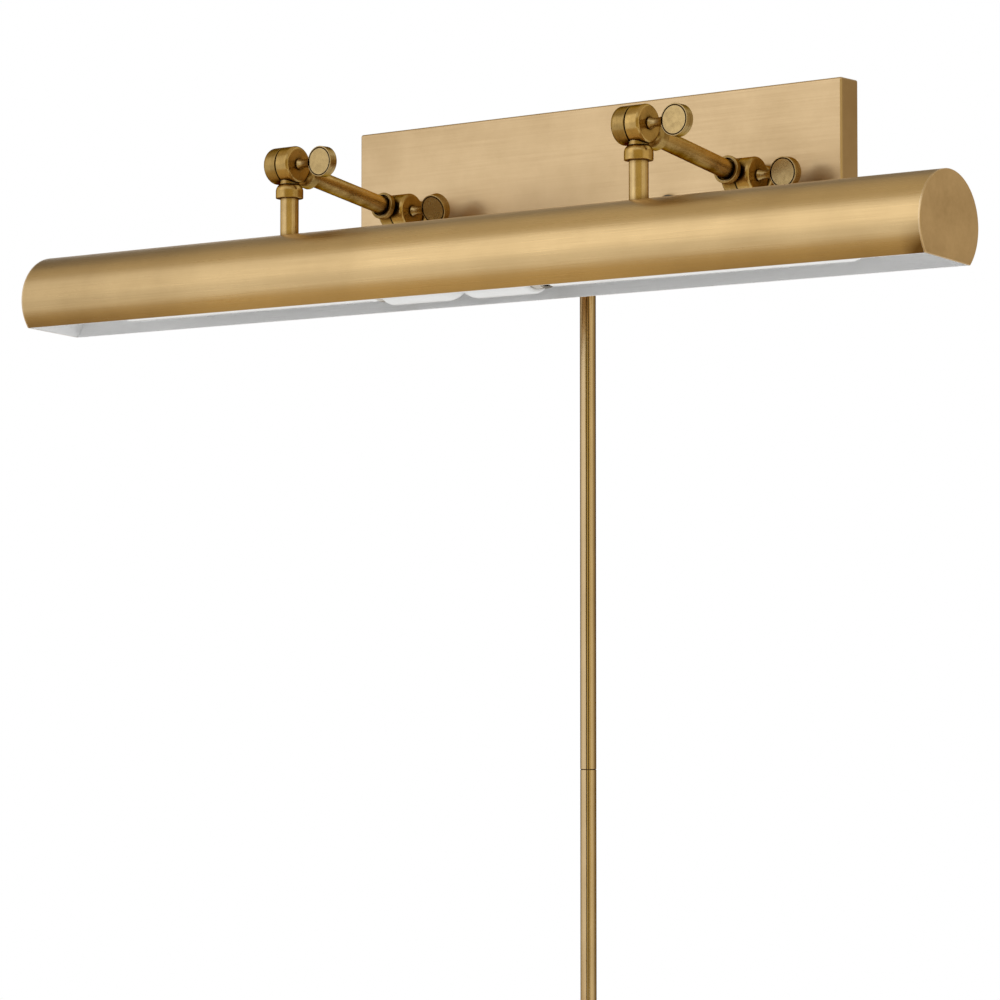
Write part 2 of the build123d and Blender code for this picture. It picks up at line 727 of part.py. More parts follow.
def cover_strip(cover_top, across_seam, along_seam):
    """One of the four strips of a length of cord cover, from its top down."""
    with BuildPart() as strip:
        with BuildSketch(Plane.XY.offset(cover_top)):
            with Locations(cover_place):
                Circle(cover_radius)
                Circle(cover_inside, mode=Mode.SUBTRACT)
        extrude(amount=-cover_length)
        rims = strip.edges().filter_by(GeomType.CIRCLE).sort_by(SortBy.RADIUS)
        chamfer(rims[-2:], length=cover_end_edge)
        with BuildSketch(Plane.XY.offset(cover_top)):
            for seam_turn in seam_turns:
                with Locations(cover_place):
                    with PolarLocations(cover_radius, 1, start_angle=seam_turn - 90):
                        Rectangle(2 * seam_depth, seam_width)
        extrude(amount=-cover_length, mode=Mode.SUBTRACT)
        split(bisect_by=seam_plane, keep=across_seam)
        split(bisect_by=square_plane, keep=along_seam)
    return strip


for level, cover_top in (("upper", plate_bottom), ("lower", plate_bottom - cover_length)):
    for place, (across_seam, along_seam) in strips.items():
        save(cover_strip(cover_top, across_seam, along_seam).part, f"cord_cover_{level}{place}")

with BuildPart() as cord_cover_sleeve:
    with BuildSketch(Plane.XY.offset(plate_bottom - cover_length)):
        with Locations(cover_place):
            Circle(cover_inside - fit_gap)
            Circle(cover_inside - fit_gap - cover_wall, mode=Mode.SUBTRACT)
    extrude(amount=cover_sleeve_length / 2, both=True)
save(cord_cover_sleeve.part, "cord_cover_sleeve")
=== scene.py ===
# %% [markdown]
# A picture light in aged brass
#
# The construction comes from CAD: every rod, knuckle, nut and lamp is already there at its
# real size. This lesson sets up the camera and the studio, gives the pieces their finishes,
# and adds a few small screws that are easier to model by hand.

# %% Load the frame
from math import cos, pi, radians, sin

import bpy
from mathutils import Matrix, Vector


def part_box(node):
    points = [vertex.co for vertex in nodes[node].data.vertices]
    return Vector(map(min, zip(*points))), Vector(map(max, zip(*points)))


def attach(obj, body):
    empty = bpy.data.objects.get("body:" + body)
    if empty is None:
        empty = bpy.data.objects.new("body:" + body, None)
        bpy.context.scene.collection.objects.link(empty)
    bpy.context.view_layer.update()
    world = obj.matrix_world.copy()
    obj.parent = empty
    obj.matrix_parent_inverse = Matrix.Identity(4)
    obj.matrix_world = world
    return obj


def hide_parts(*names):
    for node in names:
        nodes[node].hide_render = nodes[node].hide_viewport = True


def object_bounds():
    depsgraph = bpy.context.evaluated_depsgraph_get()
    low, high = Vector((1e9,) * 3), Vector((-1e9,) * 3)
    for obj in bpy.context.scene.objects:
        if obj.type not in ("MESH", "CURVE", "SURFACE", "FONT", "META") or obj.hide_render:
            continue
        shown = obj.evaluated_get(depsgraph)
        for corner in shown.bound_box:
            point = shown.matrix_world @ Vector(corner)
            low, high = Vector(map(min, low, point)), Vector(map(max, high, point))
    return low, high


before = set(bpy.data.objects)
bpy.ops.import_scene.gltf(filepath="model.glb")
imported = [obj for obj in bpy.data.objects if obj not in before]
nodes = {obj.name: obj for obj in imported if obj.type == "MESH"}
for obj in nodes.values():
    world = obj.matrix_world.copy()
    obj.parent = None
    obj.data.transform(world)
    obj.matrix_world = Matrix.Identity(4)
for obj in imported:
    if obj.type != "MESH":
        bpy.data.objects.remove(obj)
cad_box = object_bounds()
scene = bpy.context.scene
bpy.ops.object.select_all(action="DESELECT")
print("nodes", len(nodes), "box", cad_box)

# %% [markdown]
# Camera
#
# The picture was taken from the right and from a little below, with a long lens, so the
# shade's lower edge runs steeply and its white inside just shows. A camera can be nudged by eye
# until the view looks right. Here its place and lens were worked out from the corners of the
# backplate and the ends of the shade, so that the render can be laid over the picture.

# %% Camera
camera_place = (1.5133, -1.9970, -0.3244)
camera_tilt = radians(2.629)
camera_turn = radians(38.833)
lens_mm = 129.6
sensor_mm = 36
camera_reach = 50

bpy.ops.object.camera_add(
    location=camera_place, rotation=(pi / 2 + camera_tilt, 0, camera_turn)
)
camera = bpy.context.object
camera.name = "camera"
camera.data.sensor_width = sensor_mm
camera.data.lens = lens_mm
camera.data.clip_end = camera_reach
scene.camera = camera
print("camera", lens_mm, "mm")

# %% [markdown]
# World
#
# The lamp is shown on plain white. A picture of a studio could be wrapped round the scene, but
# an even white world needs no file. It lights the lamp from all sides and is the background too.

# %% World
world = bpy.data.worlds.new("studio")
scene.world = world
world.use_nodes = True
backdrop = world.node_tree.nodes["Background"]
backdrop.inputs["Color"].default_value = (1, 1, 1, 1)
backdrop.inputs["Strength"].default_value = 1.0
print("world", world.name)

# %% [markdown]
# Floor
#
# The lamp hangs on a wall that isn't shown. A wall would hide the bracket and the nuts in views
# from behind, so only a floor is made, a plain pale disc a little below the cord cover. The
# shade's axis is measured here too, because the studio is set up round it.

# %% Floor
floor_gap = 0.03
floor_radius = 1.6
floor_sides = 96
floor_colour = (0.90, 0.90, 0.89)
dull = 0.9
floor_level = cad_box[0][2] - floor_gap
shade_low, shade_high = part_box("shade_shell")
shade_y = (shade_low[1] + shade_high[1]) / 2
shade_radius = (shade_high[1] - shade_low[1]) / 2
shade_z = shade_high[2] - shade_radius
shade_middle = Vector((0, shade_y, shade_z))


def studio_material(name, colour, glow=0.0):
    """A material for the studio's own surfaces, lit or glowing."""
    material = bpy.data.materials.new(name)
    material.use_nodes = True
    shader = material.node_tree.nodes["Principled BSDF"]
    shader.inputs["Base Color"].default_value = (0, 0, 0, 1) if glow else (*colour, 1)
    shader.inputs["Roughness"].default_value = dull
    shader.inputs["Specular IOR Level"].default_value = 0.0
    shader.inputs["Emission Color"].default_value = (*colour, 1)
    shader.inputs["Emission Strength"].default_value = glow
    return material


bpy.ops.mesh.primitive_circle_add(
    vertices=floor_sides, radius=floor_radius, fill_type="NGON", location=(0, shade_y, floor_level)
)
floor = bpy.context.object
floor.name = "floor"
floor.data.materials.append(studio_material("pale floor", floor_colour))
print("floor", floor_level, "shade radius", shade_radius)

# %% [markdown]
# Flags
#
# Brass shows what stands around it. More lamps would only make all of it brighter, so flags are
# hung round the set, as a photographer does: grey or warm sheets that only show in reflections.
# Those behind and above the lamp darken the upper edge of the shade, and those beside the camera
# give the rods and knuckles their warm brown.

# %% Flag helpers
def spot(azimuth, elevation, distance):
    """A place around the shade: degrees from the front to the right, degrees up, metres away."""
    turn, rise = radians(azimuth), radians(elevation)
    away = Vector((sin(turn) * cos(rise), -cos(turn) * cos(rise), sin(rise)))
    return shade_middle + distance * away


def face_shade(thing):
    """Turn a flag or a lamp to the shade."""
    back = "Z" if thing.type == "MESH" else "-Z"
    thing.rotation_euler = (shade_middle - thing.location).to_track_quat(back, "Y").to_euler()


def flag(name, place, size, colour, flat=False):
    """A sheet that only reflections see, of a width and height, lying flat or facing the shade."""
    bpy.ops.mesh.primitive_plane_add(size=1, location=place)
    sheet = bpy.context.object
    sheet.name = name
    if not flat:
        face_shade(sheet)
    sheet.scale = (*size, 1)
    sheet.data.materials.append(studio_material(name, colour, glow=1.0))
    sheet.visible_camera = False
    sheet.visible_diffuse = False
    sheet.visible_shadow = False
    sheet.visible_transmission = False


print("straight ahead of the shade", spot(0, 0, 1))

# %% Flags
camera_flag_away = 3.2
flags_away = 3.0
above_rise = 2.3
above_back = 0.1
below_left = 0.55
below_front = 0.8
below_lift = 0.02
above_place = shade_middle + Vector((0, above_back, above_rise))
below_place = (-below_left, shade_y - below_front, floor_level + below_lift)

flag("flag_camera", spot(35, 3, camera_flag_away), (5.0, 3.0), (0.62, 0.50, 0.20))
flag("flag_right", spot(98, 5, flags_away), (2.4, 3.0), (0.88, 0.80, 0.58))
flag("flag_behind_right", spot(145, 5, flags_away), (2.8, 3.0), (0.58, 0.48, 0.32))
flag("flag_behind", spot(188, 10, flags_away), (2.4, 3.4), (0.40, 0.35, 0.27))
flag("flag_behind_left", spot(-130, -2, flags_away), (3.2, 2.0), (0.22, 0.18, 0.12))
flag("flag_high_left", spot(-130, 43, flags_away), (3.2, 2.2), (0.28, 0.25, 0.20))
flag("flag_above", above_place, (8.0, 3.2), (0.62, 0.54, 0.38), flat=True)
flag("flag_below", below_place, (2.6, 1.3), (0.66, 0.52, 0.28), flat=True)

# %% [markdown]
# Key lamp
#
# The shade has one bright band along its front. A small lamp would draw it as a hard line, so
# one wide soft lamp stands at the front left.

# %% Key lamp
key_away = 2.7
key_size = 1.8
key_watts = 4.6

bpy.ops.object.light_add(type="AREA", location=spot(-30, 25, key_away))
key = bpy.context.object
key.name = "key"
key.data.size = key_size
key.data.energy = key_watts
face_shade(key)
print("key", key.location)

# %% [markdown]
# Finishes
#
# A finish is a tree of nodes. Trees can be wired by hand in the shader editor, but the same few
# steps come back in each of them. So small helpers add a node, feed it from other nodes or from
# plain values, and hand back its output.

# %% Nodes and links
def link(tree, output, target):
    """Join two sockets."""
    tree.links.new(output, target)


def add(tree, kind, **values):
    """Add a node and set its plain values, or the defaults of its inputs by name."""
    node = tree.nodes.new(kind)
    for name, value in values.items():
        if name in node.bl_rna.properties:
            setattr(node, name, value)
        else:
            node.inputs[name.replace("_", " ")].default_value = value
    return node


def feed(tree, socket, value):
    """Give a socket another socket's output, or a plain value."""
    if hasattr(value, "is_linked"):
        link(tree, value, socket)
    else:
        socket.default_value = value


print("helpers", [helper.__name__ for helper in (link, add, feed)])

# %% Sums, ranges and noise
number_operations = ("DOT_PRODUCT", "DISTANCE", "LENGTH")


def calc(tree, operation, a, b=0.0):
    """A clamped Math node on sockets or plain numbers; returns its output."""
    node = add(tree, "ShaderNodeMath", operation=operation, use_clamp=True)
    feed(tree, node.inputs[0], a)
    feed(tree, node.inputs[1], b)
    return node.outputs[0]


def vector(tree, operation, a, b=(0, 0, 0)):
    """A Vector Math node on sockets or plain vectors; returns its vector, or its number."""
    node = add(tree, "ShaderNodeVectorMath", operation=operation)
    feed(tree, node.inputs[0], a)
    feed(tree, node.inputs[1], b)
    return node.outputs["Value" if operation in number_operations else "Vector"]


def ramp(tree, value, from_low, from_high, to_low=0.0, to_high=1.0):
    """Map a value from one range to another, clamped."""
    node = add(
        tree, "ShaderNodeMapRange",
        From_Min=from_low, From_Max=from_high, To_Min=to_low, To_Max=to_high,
    )
    link(tree, value, node.inputs["Value"])
    return node.outputs["Result"]


def noise(tree, place, scale, detail, roughness=0.5):
    """A Noise texture at a place; returns its grey value."""
    node = add(tree, "ShaderNodeTexNoise", Detail=detail, Roughness=roughness)
    link(tree, place, node.inputs["Vector"])
    feed(tree, node.inputs["Scale"], scale)
    return node.outputs["Fac"]


print("helpers", [helper.__name__ for helper in (calc, vector, ramp, noise)])

# %% [markdown]
# Brushing
#
# Polishing leaves a bundle of fine lines in the brass, all one way. A scratched picture could be
# wrapped round each piece, but each would have to be unwrapped. Noise on stretched coordinates
# gives lines anywhere, in a node group that all pieces share, each with its own stretch.

# %% Brushing
along_x = (14, 1400, 1400)
along_y = (1400, 14, 1400)
along_z = (1400, 1400, 14)
turned = (2200, 90, 90)
cast = (300, 300, 300)
line_scale, band_scale = 1.0, 0.14
grey_low, grey_high = 0.3, 0.7


def new_group(title, inputs, outputs):
    """A node group with number or vector inputs and number outputs: its tree and end nodes."""
    group = bpy.data.node_groups.new(title, "ShaderNodeTree")
    for name, value in inputs.items():
        kind = "NodeSocketFloat" if isinstance(value, float) else "NodeSocketVector"
        socket = group.interface.new_socket(name, in_out="INPUT", socket_type=kind)
        socket.default_value = value
    for name in outputs:
        group.interface.new_socket(name, in_out="OUTPUT", socket_type="NodeSocketFloat")
    return group, group.nodes.new("NodeGroupInput"), group.nodes.new("NodeGroupOutput")


brushing, put, out = new_group(
    "Brushing", {"Place": (0, 0, 0), "Stretch": along_x}, ["Lines", "Bands"]
)
stretched = vector(brushing, "MULTIPLY", put.outputs["Place"], put.outputs["Stretch"])
fine = noise(brushing, stretched, line_scale, detail=4.0, roughness=0.65)
wide = noise(brushing, stretched, band_scale, detail=2.0)
link(brushing, ramp(brushing, fine, grey_low, grey_high), out.inputs["Lines"])
link(brushing, ramp(brushing, wide, grey_low, grey_high), out.inputs["Bands"])
print("brushing", len(brushing.nodes), "nodes")

# %% [markdown]
# Patina and corner shade
#
# Aged brass has a brown patina that lies in clouds. In corners the brown is patina and painted
# shade together. It could be painted on piece by piece. Here noise gives the clouds, and ambient
# occlusion, which sees where surfaces close in on each other, finds the corners of every piece by
# itself.

# %% Patina and corner shade
cloud_edge, cloud_heart = 0.38, 0.7
open_air, crevice = 0.9, 0.35

patina, put, out = new_group(
    "Patina and corner shade",
    {"Place": (0, 0, 0), "Size": 24.0, "Clouds": 0.3, "Corners": 0.8, "Reach": 0.004},
    ["Mask"],
)
cloud = noise(patina, put.outputs["Place"], put.outputs["Size"], detail=5.0, roughness=0.62)
cloud = ramp(patina, cloud, cloud_edge, cloud_heart)
cloudy = calc(patina, "MULTIPLY", cloud, put.outputs["Clouds"])
# Ambient occlusion darkens the corners: painted shade, together with the patina that gathers there.
corner = add(patina, "ShaderNodeAmbientOcclusion", samples=8)
link(patina, put.outputs["Reach"], corner.inputs["Distance"])
closed_in = ramp(patina, corner.outputs["AO"], open_air, crevice)
cornered = calc(patina, "MULTIPLY", closed_in, put.outputs["Corners"])
link(patina, calc(patina, "ADD", cloudy, cornered), out.inputs["Mask"])
print("patina", len(patina.nodes), "nodes")

# %% [markdown]
# Worn edges
#
# Cloths and hands rub the edges down to bright metal. The pointiness of a mesh also finds
# edges, but only on very fine meshes. A rounded normal differs from the flat one near an edge of
# any mesh, so the two are compared.

# %% Worn edges
flat_match, edge_match = 0.995, 0.85

wear, put, out = new_group("Worn edges", {"Radius": 0.0006}, ["Mask"])
rounded = add(wear, "ShaderNodeBevel", samples=6)
link(wear, put.outputs["Radius"], rounded.inputs["Radius"])
flat = add(wear, "ShaderNodeNewGeometry")
match = vector(wear, "DOT_PRODUCT", rounded.outputs["Normal"], flat.outputs["Normal"])
link(wear, ramp(wear, match, flat_match, edge_match), out.inputs["Mask"])
print("groups", [group.name for group in bpy.data.node_groups])

# %% [markdown]
# Brass
#
# The brass pieces differ in colour, in the direction of their brushing and in their patina. A
# material could be built for each, but one function with amounts is shorter. It takes two
# optional masks: where the brass is darker, on the shade, the arms and the cord cover as painted
# shade, and where white paint covers it. Small polished pieces look brown where the eye grazes
# them, so they get a brown specular tint, which a metal shows only towards its outline.

# %% Start a material
mix_first, mix_second, mix_result = 6, 7, 2


def start(name):
    """A new material: its tree, its shader and the Object coordinates."""
    material = bpy.data.materials.new(name)
    material.use_nodes = True
    tree = material.node_tree
    place = add(tree, "ShaderNodeTexCoord").outputs["Object"]
    return material, tree, tree.nodes["Principled BSDF"], place


def use(tree, group, **values):
    """Place a node group and set its inputs; returns its outputs."""
    node = add(tree, "ShaderNodeGroup", node_tree=group)
    for name, value in values.items():
        feed(tree, node.inputs[name], value)
    return node.outputs


def mix(tree, factor, a, b):
    """Mix two colours, each a socket or a plain colour, by a mask."""
    node = add(tree, "ShaderNodeMix", data_type="RGBA")
    link(tree, factor, node.inputs["Factor"])
    feed(tree, node.inputs[mix_first], a if hasattr(a, "is_linked") else (*a, 1))
    feed(tree, node.inputs[mix_second], b if hasattr(b, "is_linked") else (*b, 1))
    return node.outputs[mix_result]


def emboss(tree, shader, height, strength, depth):
    """Raise a shader's surface by a grey value, as fine relief."""
    node = add(tree, "ShaderNodeBump", Strength=strength, Distance=depth)
    link(tree, height, node.inputs["Height"])
    link(tree, node.outputs["Normal"], shader.inputs["Normal"])


print("helpers", [helper.__name__ for helper in (start, use, mix, emboss)])

# %% Brass
clean_brass = (0.635, 0.468, 0.271)
dark_brass = (0.26, 0.155, 0.055)
bright_brass = (0.92, 0.73, 0.45)
paint_white = (0.92, 0.92, 0.92)
patina_roughness = 0.12
brush_depth = 0.0002


def brass(name, stretch, clean=clean_brass, dark=dark_brass, bright=bright_brass, streaks=0.2,
          bands=0.06, size=24.0, clouds=0.3, corners=0.9, reach=0.004, rough=(0.28, 0.40),
          bump=0.1, worn=0.6, tilt=0.0, grazing=(1, 1, 1), darker_mask=None, paint=None):
    """Aged brass: clean metal, brown patina in clouds, patina and painted shade in corners, bright
    worn edges.
    """
    material, tree, shader, place = start(name)
    upright = add(tree, "ShaderNodeVectorRotate", rotation_type="X_AXIS", Angle=tilt)
    link(tree, place, upright.inputs["Vector"])
    brushed = use(tree, brushing, Place=upright.outputs["Vector"], Stretch=stretch)
    aged_and_shaded = use(
        tree, patina, Place=place, Size=size, Clouds=clouds, Corners=corners, Reach=reach
    )["Mask"]
    edges = use(tree, wear)["Mask"]
    lines = calc(tree, "MULTIPLY", brushed["Lines"], streaks)
    banded = calc(tree, "MULTIPLY", brushed["Bands"], bands)
    tone = calc(tree, "ADD", aged_and_shaded, calc(tree, "ADD", lines, banded))
    # Each piece's own darker mask: painted shade on the shade, the arms and the cord cover; plain
    # darkening elsewhere.
    if darker_mask:
        tone = calc(tree, "ADD", tone, darker_mask(tree, place))
    bare = calc(tree, "MULTIPLY", edges, calc(tree, "SUBTRACT", worn, tone))
    colour = mix(tree, bare, mix(tree, tone, clean, dark), bright)
    brushed_rough = ramp(tree, brushed["Lines"], 0, 1, *rough)
    aged_and_shaded_rough = calc(tree, "MULTIPLY", aged_and_shaded, patina_roughness)
    shader.inputs["Metallic"].default_value = 1.0
    shader.inputs["Specular Tint"].default_value = (*grazing, 1)
    if paint:
        painted = paint(tree, place)
        colour = mix(tree, painted, colour, paint_white)
        link(tree, calc(tree, "SUBTRACT", 1.0, painted), shader.inputs["Metallic"])
    link(tree, colour, shader.inputs["Base Color"])
    link(tree, calc(tree, "ADD", brushed_rough, aged_and_shaded_rough), shader.inputs["Roughness"])
    emboss(tree, shader, brushed["Lines"], bump, brush_depth)
    return material


print("brass", clean_brass, "patina", dark_brass)

# %% [markdown]
# Backplate
#
# The plate is a sheet with folded sides, polished on its face. Its short sides are darker, and
# it darkens towards its upper edge, most on the left. The sides could get a material of their
# own, face by face. They are found by their distance from the middle, so that one material does
# for the whole plate.

# %% Places on a piece
def axes(tree, place):
    """The X, Y and Z of a place."""
    split = add(tree, "ShaderNodeSeparateXYZ")
    link(tree, place, split.inputs[0])
    return split.outputs


def far_along(tree, place):
    """The distance from the middle, to the left or to the right."""
    far = add(tree, "ShaderNodeMath", operation="ABSOLUTE")
    link(tree, axes(tree, place)["X"], far.inputs[0])
    return far.outputs[0]


def dress(material, *names):
    """Give nodes a material."""
    for name in names:
        nodes[name].data.materials.clear()
        nodes[name].data.materials.append(material)


print("helpers", [helper.__name__ for helper in (axes, far_along, dress)])

# %% Backplate
plate_low, plate_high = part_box("backplate")
plate_middle_z = (plate_low[2] + plate_high[2]) / 2
edge_skin = 0.0003
side_depth = 0.45
upper_depth_left, upper_depth_right = 0.28, 0.04


def plate_darkening(tree, place):
    """Darker on the plate's short sides and towards its upper edge, most on the left."""
    x, _, z = axes(tree, place)
    side = calc(tree, "GREATER_THAN", far_along(tree, place), plate_high[0] - edge_skin)
    upper = ramp(tree, z, plate_middle_z, plate_high[2])
    upper_depth = ramp(tree, x, plate_low[0], plate_high[0], upper_depth_left, upper_depth_right)
    upper = calc(tree, "MULTIPLY", upper, upper_depth)
    return calc(tree, "ADD", calc(tree, "MULTIPLY", side, side_depth), upper)


plate_brass = brass(
    "plate brass", along_x, size=10, clouds=0.28, streaks=0.03, bands=0.0, bump=0.03,
    darker_mask=plate_darkening,
)
dress(plate_brass, "backplate")
print("plate", plate_low, plate_high)

# %% [markdown]
# Stems and arms
#
# The rods are brushed lengthwise and polished more than the plate. The arms rise towards the
# room, so their brushing is tilted with them. Their underside is painted brown, as painted shade.
# It could be a second material on the lower faces, with a hard border. A mask by the height above
# the arms' own axis fades softly. A few small brass pieces share the stems' finish.

# %% Stems and arms
grazing_brown = (0.45, 0.32, 0.15)
arm_tilt = radians(9.55)
arm_low, arm_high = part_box("arm_tube_left")
arm_middle = [(low + high) / 2 for low, high in zip(arm_low, arm_high)]
arm_radius = (arm_high[0] - arm_low[0]) / 2
underside_start = 0.2 * arm_radius
underside_end = -0.8 * arm_radius
underside_depth = 0.68


def pair(*names):
    """Left and right nodes of each name."""
    return [f"{name}_{side}" for name in names for side in ("left", "right")]


def arm_underside_shade(tree, place):
    """Painted shade on the underside of the arms."""
    outward = vector(tree, "SUBTRACT", place, arm_middle)
    height = vector(tree, "DOT_PRODUCT", outward, (0, sin(arm_tilt), cos(arm_tilt)))
    return ramp(tree, height, underside_start, underside_end, 0.0, underside_depth)


stem_brass = brass(
    "stem brass", along_z, clean=(0.66, 0.475, 0.225), size=60, clouds=0.35, reach=0.006,
    rough=(0.17, 0.27), grazing=grazing_brown,
)
arm_brass = brass(
    "arm brass", along_y, clean=(0.76, 0.52, 0.2), dark=(0.15, 0.075, 0.015), size=60,
    clouds=0.36, streaks=0.12, reach=0.006, rough=(0.2, 0.3), tilt=-arm_tilt,
    grazing=grazing_brown, darker_mask=arm_underside_shade,
)
dress(stem_brass, *pair("stem"), "ground_screw", "switch_terminals", "hanger_rivets")
dress(arm_brass, *pair("arm_tube"))
print("arm radius", arm_radius)

# %% [markdown]
# Cord cover
#
# The cord cover is a thin tube down the wall, bright along its front, with painted shade at its
# sides that stands in for dark reflections. The brown could be left to reflections, but those
# change with the view. A mask by the direction from the cover's axis stays in its place, and runs
# across all the strips that CAD makes the cover of.

# %% Cord cover
sleeve_low, sleeve_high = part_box("cord_cover_sleeve")
cover_axis = [(low + high) / 2 for low, high in zip(sleeve_low[:2], sleeve_high[:2])]
lit_front_turn = radians(30)
lit_facing, shaded_facing = 0.85, 0.3
side_shade_depth = 0.6
cover_strips = [
    f"cord_cover_{level}{strip}"
    for level in ("upper", "lower")
    for strip in ("", "_right", "_back", "_left")
]


def cover_side_shade(tree, place):
    """Painted shade on the sides of the cord cover, away from the front."""
    outward = vector(tree, "SUBTRACT", place, (*cover_axis, 0))
    level = vector(tree, "NORMALIZE", vector(tree, "MULTIPLY", outward, (1, 1, 0)))
    front = (sin(lit_front_turn), -cos(lit_front_turn), 0)
    facing = vector(tree, "DOT_PRODUCT", level, front)
    return ramp(tree, facing, lit_facing, shaded_facing, 0.0, side_shade_depth)


cover_brass = brass(
    "cover brass", along_z, clean=(0.66, 0.49, 0.275), dark=(0.05, 0.025, 0.008), size=30,
    clouds=0.08, streaks=0.1, reach=0.0016, corners=2.0, rough=(0.14, 0.22),
    grazing=grazing_brown, darker_mask=cover_side_shade,
)
dress(cover_brass, "cord_cover_sleeve", *cover_strips)
print("cover axis", cover_axis)

# %% [markdown]
# Knuckles
#
# The knuckles are the darkest brass, with brown patina and painted shade in every crevice, and
# bright edges. The halves on the arms keep fine turning marks and are painted darker, as painted
# shade; the halves on the wall and on the stems are smooth. The marks could be modelled as
# grooves, but they are so fine that brushing across the axis is enough.

# %% Knuckles
# The arm halves: a darker copy of the knuckle brass, as painted shade.
shaded_turned_brass = brass(
    "turned brass", turned, clean=(0.42, 0.275, 0.095), dark=(0.06, 0.03, 0.006), size=110,
    clouds=0.3, corners=1.6, reach=0.006, rough=(0.22, 0.32), bump=0.12, worn=0.9,
    grazing=grazing_brown,
)
knuckle_brass = brass(
    "cast brass", cast, clean=(0.53, 0.345, 0.118), dark=(0.06, 0.03, 0.006), size=110,
    clouds=0.3, streaks=0.08, corners=1.6, reach=0.006, rough=(0.18, 0.26), bump=0.06, worn=0.9,
    grazing=grazing_brown,
)
dress(shaded_turned_brass, *pair("arm_lower_knuckle", "arm_upper_knuckle"))
dress(knuckle_brass, *pair("wall_knuckle", "stem_knuckle"))
print("knuckles", shaded_turned_brass.name, knuckle_brass.name)

# %% [markdown]
# Thumb screws
#
# Each thumb screw has a coin-shaped head with a dark ring left round its face. The ring could be
# cut as a piece of its own. A mask between two distances from the middle of the head keeps the
# head whole, and because each head has its own middle, each thumb screw has its own material.

# %% Thumb screws
coin_radius = 0.0105
ring_inner, ring_inner_blur = 0.0095, 0.0001
ring_outer, ring_outer_blur = 0.01044, 0.00008


def coin_ring(name):
    """A mask of the ring round the head of a thumb screw, as a shell round the head's middle."""
    low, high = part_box(name)
    middle = (high[0] - coin_radius, (low[1] + high[1]) / 2, (low[2] + high[2]) / 2)

    def ring(tree, place):
        away = vector(tree, "DISTANCE", place, middle)
        outside = ramp(tree, away, ring_inner - ring_inner_blur, ring_inner + ring_inner_blur)
        inside = ramp(tree, away, ring_outer + ring_outer_blur, ring_outer - ring_outer_blur)
        return calc(tree, "MULTIPLY", outside, inside)

    return ring


thumb_screws = pair("thumb_screw_lower", "thumb_screw_upper")
for screw_name in thumb_screws:
    coin_brass = brass(
        f"{screw_name} brass", cast, clean=(0.47, 0.335, 0.15), dark=(0.05, 0.025, 0.006),
        size=150, clouds=0.16, streaks=0.08, corners=2.0, reach=0.0016, rough=(0.2, 0.3),
        bump=0.06, worn=0.9, grazing=grazing_brown, darker_mask=coin_ring(screw_name),
    )
    dress(coin_brass, screw_name)
print("thumb screws", thumb_screws)

# %% [markdown]
# White inside of the shade
#
# The shade is brass outside and painted white inside. The inner faces could get a material of
# their own, but the wall is one piece under a millimetre thick. The paint is told from the brass
# by its distance from the shade's axis, and on the end caps by its distance from the middle.

# %% White inside of the shade
brass_skin = 0.0002
paint_skin = 0.00002
cap_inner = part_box("end_cap_right")[0][0]


def inside_shell(tree, place):
    """1 on the shell's inner side and on its cut rim."""
    across = vector(tree, "MULTIPLY", vector(tree, "SUBTRACT", place, shade_middle), (0, 1, 1))
    return calc(tree, "LESS_THAN", vector(tree, "LENGTH", across), shade_radius - brass_skin)


def inside_cap(tree, place):
    """1 on the inner face of an end cap."""
    return calc(tree, "LESS_THAN", far_along(tree, place), cap_inner + paint_skin)


print("paint within", shade_radius - brass_skin, "of the axis")

# %% [markdown]
# Shade
#
# Painted shade darkens the shade's lower rim and its top, most near the ends. The left end is
# darker all over, and the lower corner at the right end cap is the darkest. Larger clouds of
# noise would put it anywhere, so here it is laid on by height and by length.

# %% Painted shade on the shade
rim_height = 0.016
rim_spread = 0.25
rim_depth_middle, rim_depth_end = 0.17, 0.55
top_depth_end = 0.28
left_width, left_depth = 0.2, 0.19
corner_width, corner_height = 0.015, 0.024


def shell_painted_shade(tree, place):
    """Painted shade at the lower rim and the top, the left end and the lower right corner."""
    x, _, z = axes(tree, place)
    far = far_along(tree, place)
    end_start = cap_inner - rim_spread
    rim = ramp(tree, z, shade_low[2] + rim_height, shade_low[2])
    rim_depth = ramp(tree, far, end_start, cap_inner, rim_depth_middle, rim_depth_end)
    top = ramp(tree, z, shade_high[2] - rim_height, shade_high[2])
    top_depth = ramp(tree, far, end_start, cap_inner, 0.0, top_depth_end)
    left = ramp(tree, x, left_width - cap_inner, -cap_inner, 0.0, left_depth)
    corner_across = ramp(tree, x, cap_inner - corner_width, cap_inner)
    corner_up = ramp(tree, z, shade_low[2] + corner_height, shade_low[2])
    deep = calc(tree, "MULTIPLY", rim, rim_depth)
    deep = calc(tree, "ADD", deep, calc(tree, "MULTIPLY", top, top_depth))
    deep = calc(tree, "ADD", deep, left)
    return calc(tree, "ADD", deep, calc(tree, "MULTIPLY", corner_across, corner_up))


print("patina from", shade_low[2], "to", shade_low[2] + rim_height)

# %% Shade
shell_brass = brass(
    "shade brass", along_x, clean=(0.645, 0.462, 0.232), dark=(0.17, 0.095, 0.03), size=9,
    clouds=0.19, streaks=0.08, rough=(0.25, 0.36), darker_mask=shell_painted_shade, paint=inside_shell,
)
cap_brass = brass(
    "end cap brass", cast, size=40, clouds=0.3, streaks=0.08, bump=0.06, paint=inside_cap
)
dress(shell_brass, "shade_shell")
dress(cap_brass, *pair("end_cap"))
print("shade", shell_brass.name, cap_brass.name)

